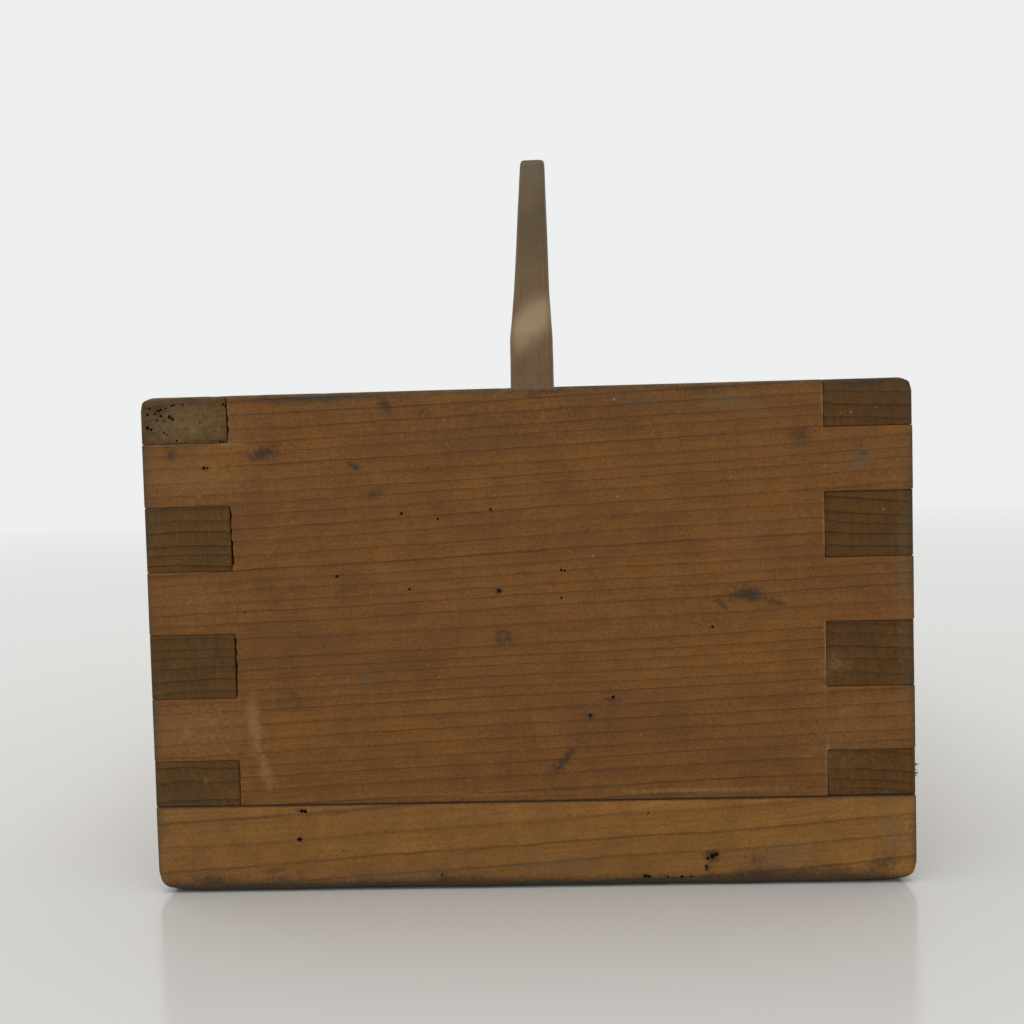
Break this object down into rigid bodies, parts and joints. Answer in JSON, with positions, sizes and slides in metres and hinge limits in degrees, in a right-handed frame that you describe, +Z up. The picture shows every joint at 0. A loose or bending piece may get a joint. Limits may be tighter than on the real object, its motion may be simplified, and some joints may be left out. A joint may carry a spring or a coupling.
{
  "type": "hand corn planter",
  "caption": "Finger-jointed wooden seed box on a thick sole, with a hinged hopper lid and a hand lever that shuttles a seed slide from the hopper to the outlet.",
  "frame": {"origin": "on the ground plane, at the centre of the sole's underside", "axes": "+Z up; -Y towards the leading end board, +Y towards the lever; +X to the right seen from the leading end; lever, slide and lid drawn at rest"},
  "size_m": [0.1386, 0.2514, 0.1868],
  "materials": {
    "board_wood": "weathered softwood, long since planed, dark with handling",
    "side_wood": "weathered softwood, darkened end grain",
    "sole_wood": "weathered softwood, rubbed on the ground",
    "inner_wood": "dry softwood, less worn",
    "slide_wood": "hardwood polished by sliding",
    "lever_wood": "hardwood, hand-polished grip",
    "bamboo": "bamboo tube with its skin on",
    "iron": "forged iron, rusted dark",
    "palm_fibre": "stiff palm fibre"
  },
  "bodies": {
    "box": {"front_board": "board_wood", "rear_board": "board_wood", "left_side": "side_wood", "right_side": "side_wood", "sole": "sole_wood", "sole_nails": "iron", "seed_floor": "inner_wood", "floor_nails": "iron", "front_slope": "inner_wood", "rear_slope": "inner_wood", "left_slope": "inner_wood", "right_slope": "inner_wood", "partition": "inner_wood", "partition_nails": "iron", "cutoff_block": "slide_wood", "cutoff_bristles": "palm_fibre", "cutoff_nails": "iron", "left_cleat": "inner_wood", "right_cleat": "inner_wood", "cleat_nails": "iron", "deck": "board_wood", "deck_nails": "iron", "lid_pins": "iron", "pivot_pin": "iron", "pin_washers": "iron", "left_spacer": "bamboo", "right_spacer": "bamboo"},
    "lever": {"hand_lever": "lever_wood"},
    "slide": {"seed_slide": "slide_wood"},
    "lid": {"lid": "board_wood", "lid_battens": "inner_wood", "batten_nails": "iron"}
  },
  "joints": [
    {"name": "lever_swing", "type": "hinge", "parent": "box", "child": "lever", "pos_m": [0, 0.071, 0.061], "axis": [1, 0, 0], "range_deg": [0, 40]},
    {"name": "slide_shuttle", "type": "slide", "parent": "box", "child": "slide", "axis": [0, 1, 0], "range_m": [0, 0.0343]},
    {"name": "lid_hinge", "type": "hinge", "parent": "box", "child": "lid", "pos_m": [0, -0.1045, 0.0803], "axis": [1, 0, 0], "range_deg": [0, 101]}
  ],
  "couplings": [
    {"joint": "slide_shuttle", "follows": "lever_swing", "m_per_rad": 0.04899}
  ]
}
